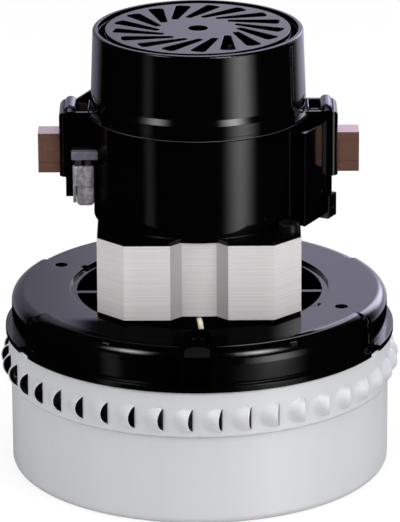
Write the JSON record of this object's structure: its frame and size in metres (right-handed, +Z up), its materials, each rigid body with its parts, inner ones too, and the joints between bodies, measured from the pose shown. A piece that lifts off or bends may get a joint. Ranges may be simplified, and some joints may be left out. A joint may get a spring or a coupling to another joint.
{
  "type": "two stage vacuum motor",
  "caption": "Two stage vacuum motor: louvred steel fan shell, black end bracket, laminated stator, brush housing with brass tubes and a slotted fan cover.",
  "frame": {"origin": "centre of the fan shell's underside, on the shaft's axis", "axes": "+Z up the shaft from the air inlet to the fan cover, +X to the right brush tube, -Y to the viewer"},
  "size_m": [0.1526, 0.1526, 0.1718],
  "materials": {
    "shell_steel": "satin",
    "black_moulding": "semi gloss",
    "lamination_steel": "satin",
    "copper_winding": "enamelled",
    "insulating_paper": "matt",
    "sleeve_cream": "matt",
    "bolt_steel": "satin",
    "brass_tube": "satin",
    "clip_black": "blackened",
    "tinned_brass": "satin",
    "ground_steel": "ground",
    "commutator_copper": "machined",
    "commutator_moulding": "matt",
    "sheet_aluminium": "satin",
    "fan_moulding": "matt",
    "brush_carbon": "matt",
    "spring_steel": "satin"
  },
  "bodies": {
    "motor_body": {"fan_shell": "shell_steel", "louvre_band": "shell_steel", "fan_end_bracket": "black_moulding", "brush_end_housing": "black_moulding", "fan_cover": "black_moulding", "lead_socket_right": "black_moulding", "stator_core": "lamination_steel", "field_coil_front": "copper_winding", "field_coil_back": "copper_winding", "slot_liners": "insulating_paper", "lead_sleeve": "sleeve_cream", "through_bolts": "bolt_steel", "brush_tube_left": "brass_tube", "brush_tube_right": "brass_tube", "brush_clip_left": "clip_black", "brush_clip_right": "clip_black", "lead_terminal_left": "tinned_brass", "lower_bearing": "ground_steel", "upper_bearing": "ground_steel", "diffuser_plate": "sheet_aluminium", "stage_diffuser": "sheet_aluminium"},
    "rotor": {"shaft": "ground_steel", "armature_core": "lamination_steel", "armature_winding": "copper_winding", "commutator": "commutator_copper", "commutator_core": "commutator_moulding", "lower_impeller_shroud": "sheet_aluminium", "lower_impeller_vanes": "sheet_aluminium", "lower_impeller_plate": "sheet_aluminium", "upper_impeller_shroud": "sheet_aluminium", "upper_impeller_vanes": "sheet_aluminium", "upper_impeller_plate": "sheet_aluminium", "impeller_spacer": "sheet_aluminium", "bearing_spacer": "sheet_aluminium", "shaft_washer": "bolt_steel", "shaft_nut": "bolt_steel", "cooling_fan": "fan_moulding", "fan_nut": "bolt_steel"},
    "brush_left": {"carbon_brush_left": "brush_carbon", "brush_spring_left": "spring_steel"},
    "brush_right": {"carbon_brush_right": "brush_carbon", "brush_spring_right": "spring_steel"}
  },
  "joints": [
    {"name": "rotor_spin", "type": "hinge", "parent": "motor_body", "child": "rotor", "pos_m": [0, 0, 0], "axis": [0, 0, 1], "continuous": true},
    {"name": "brush_left_slide", "type": "slide", "parent": "motor_body", "child": "brush_left", "axis": [-1, 0, 0], "range_m": [0, 0.01], "stiffness_N_per_m": 60, "springref_m": -0.01, "deforming": ["brush_spring_left"]},
    {"name": "brush_right_slide", "type": "slide", "parent": "motor_body", "child": "brush_right", "axis": [1, 0, 0], "range_m": [0, 0.01], "stiffness_N_per_m": 60, "springref_m": -0.01, "deforming": ["brush_spring_right"]}
  ]
}
